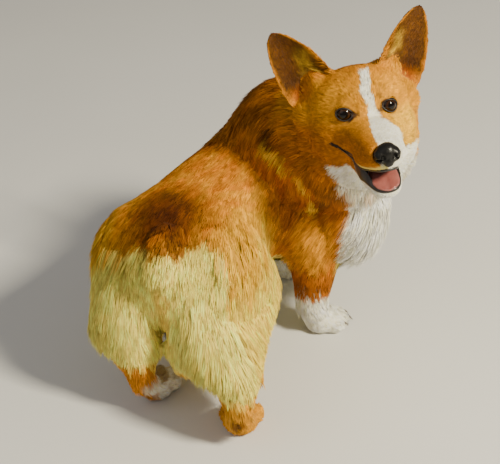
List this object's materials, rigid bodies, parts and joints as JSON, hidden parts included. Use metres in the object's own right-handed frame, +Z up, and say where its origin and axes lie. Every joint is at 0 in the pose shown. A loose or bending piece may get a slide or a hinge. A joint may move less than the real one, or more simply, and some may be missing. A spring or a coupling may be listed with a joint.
{
  "type": "pembroke welsh corgi",
  "caption": "Life-size standing pembroke welsh corgi with pricked ears and a docked tail, looking back over its right shoulder.",
  "frame": {"origin": "on the floor, under the middle of the dog's bounding box", "axes": "+Z up from the floor; the rump faces +Y and the chest -Y and -X, with the dog's left at +X"},
  "size_m": [0.3864, 0.4498, 0.4487],
  "materials": {
    "coat_red": "dense medium-length red fur",
    "coat_gold": "short to medium golden fur",
    "coat_cream": "long soft cream fur",
    "coat_white": "short white fur",
    "nose_black": "moist pebbled skin",
    "eye_brown": "wet and clear",
    "tongue_pink": "moist soft skin"
  },
  "bodies": {
    "root": {"torso": "coat_red", "chest": "coat_gold", "tail": "coat_red", "neck": "coat_gold", "head": "coat_gold", "ear_left": "coat_gold", "ear_right": "coat_gold", "eye_left": "eye_brown", "eye_right": "eye_brown", "nose": "nose_black", "tongue": "tongue_pink", "thigh_left": "coat_cream", "thigh_right": "coat_cream", "pastern_rear_left": "coat_gold", "pastern_rear_right": "coat_gold", "paw_rear_left": "coat_cream", "paw_rear_right": "coat_cream", "upper_arm_left": "coat_gold", "upper_arm_right": "coat_gold", "forearm_left": "coat_gold", "forearm_right": "coat_gold", "paw_front_left": "coat_white", "paw_front_right": "coat_white"}
  },
  "joints": []
}
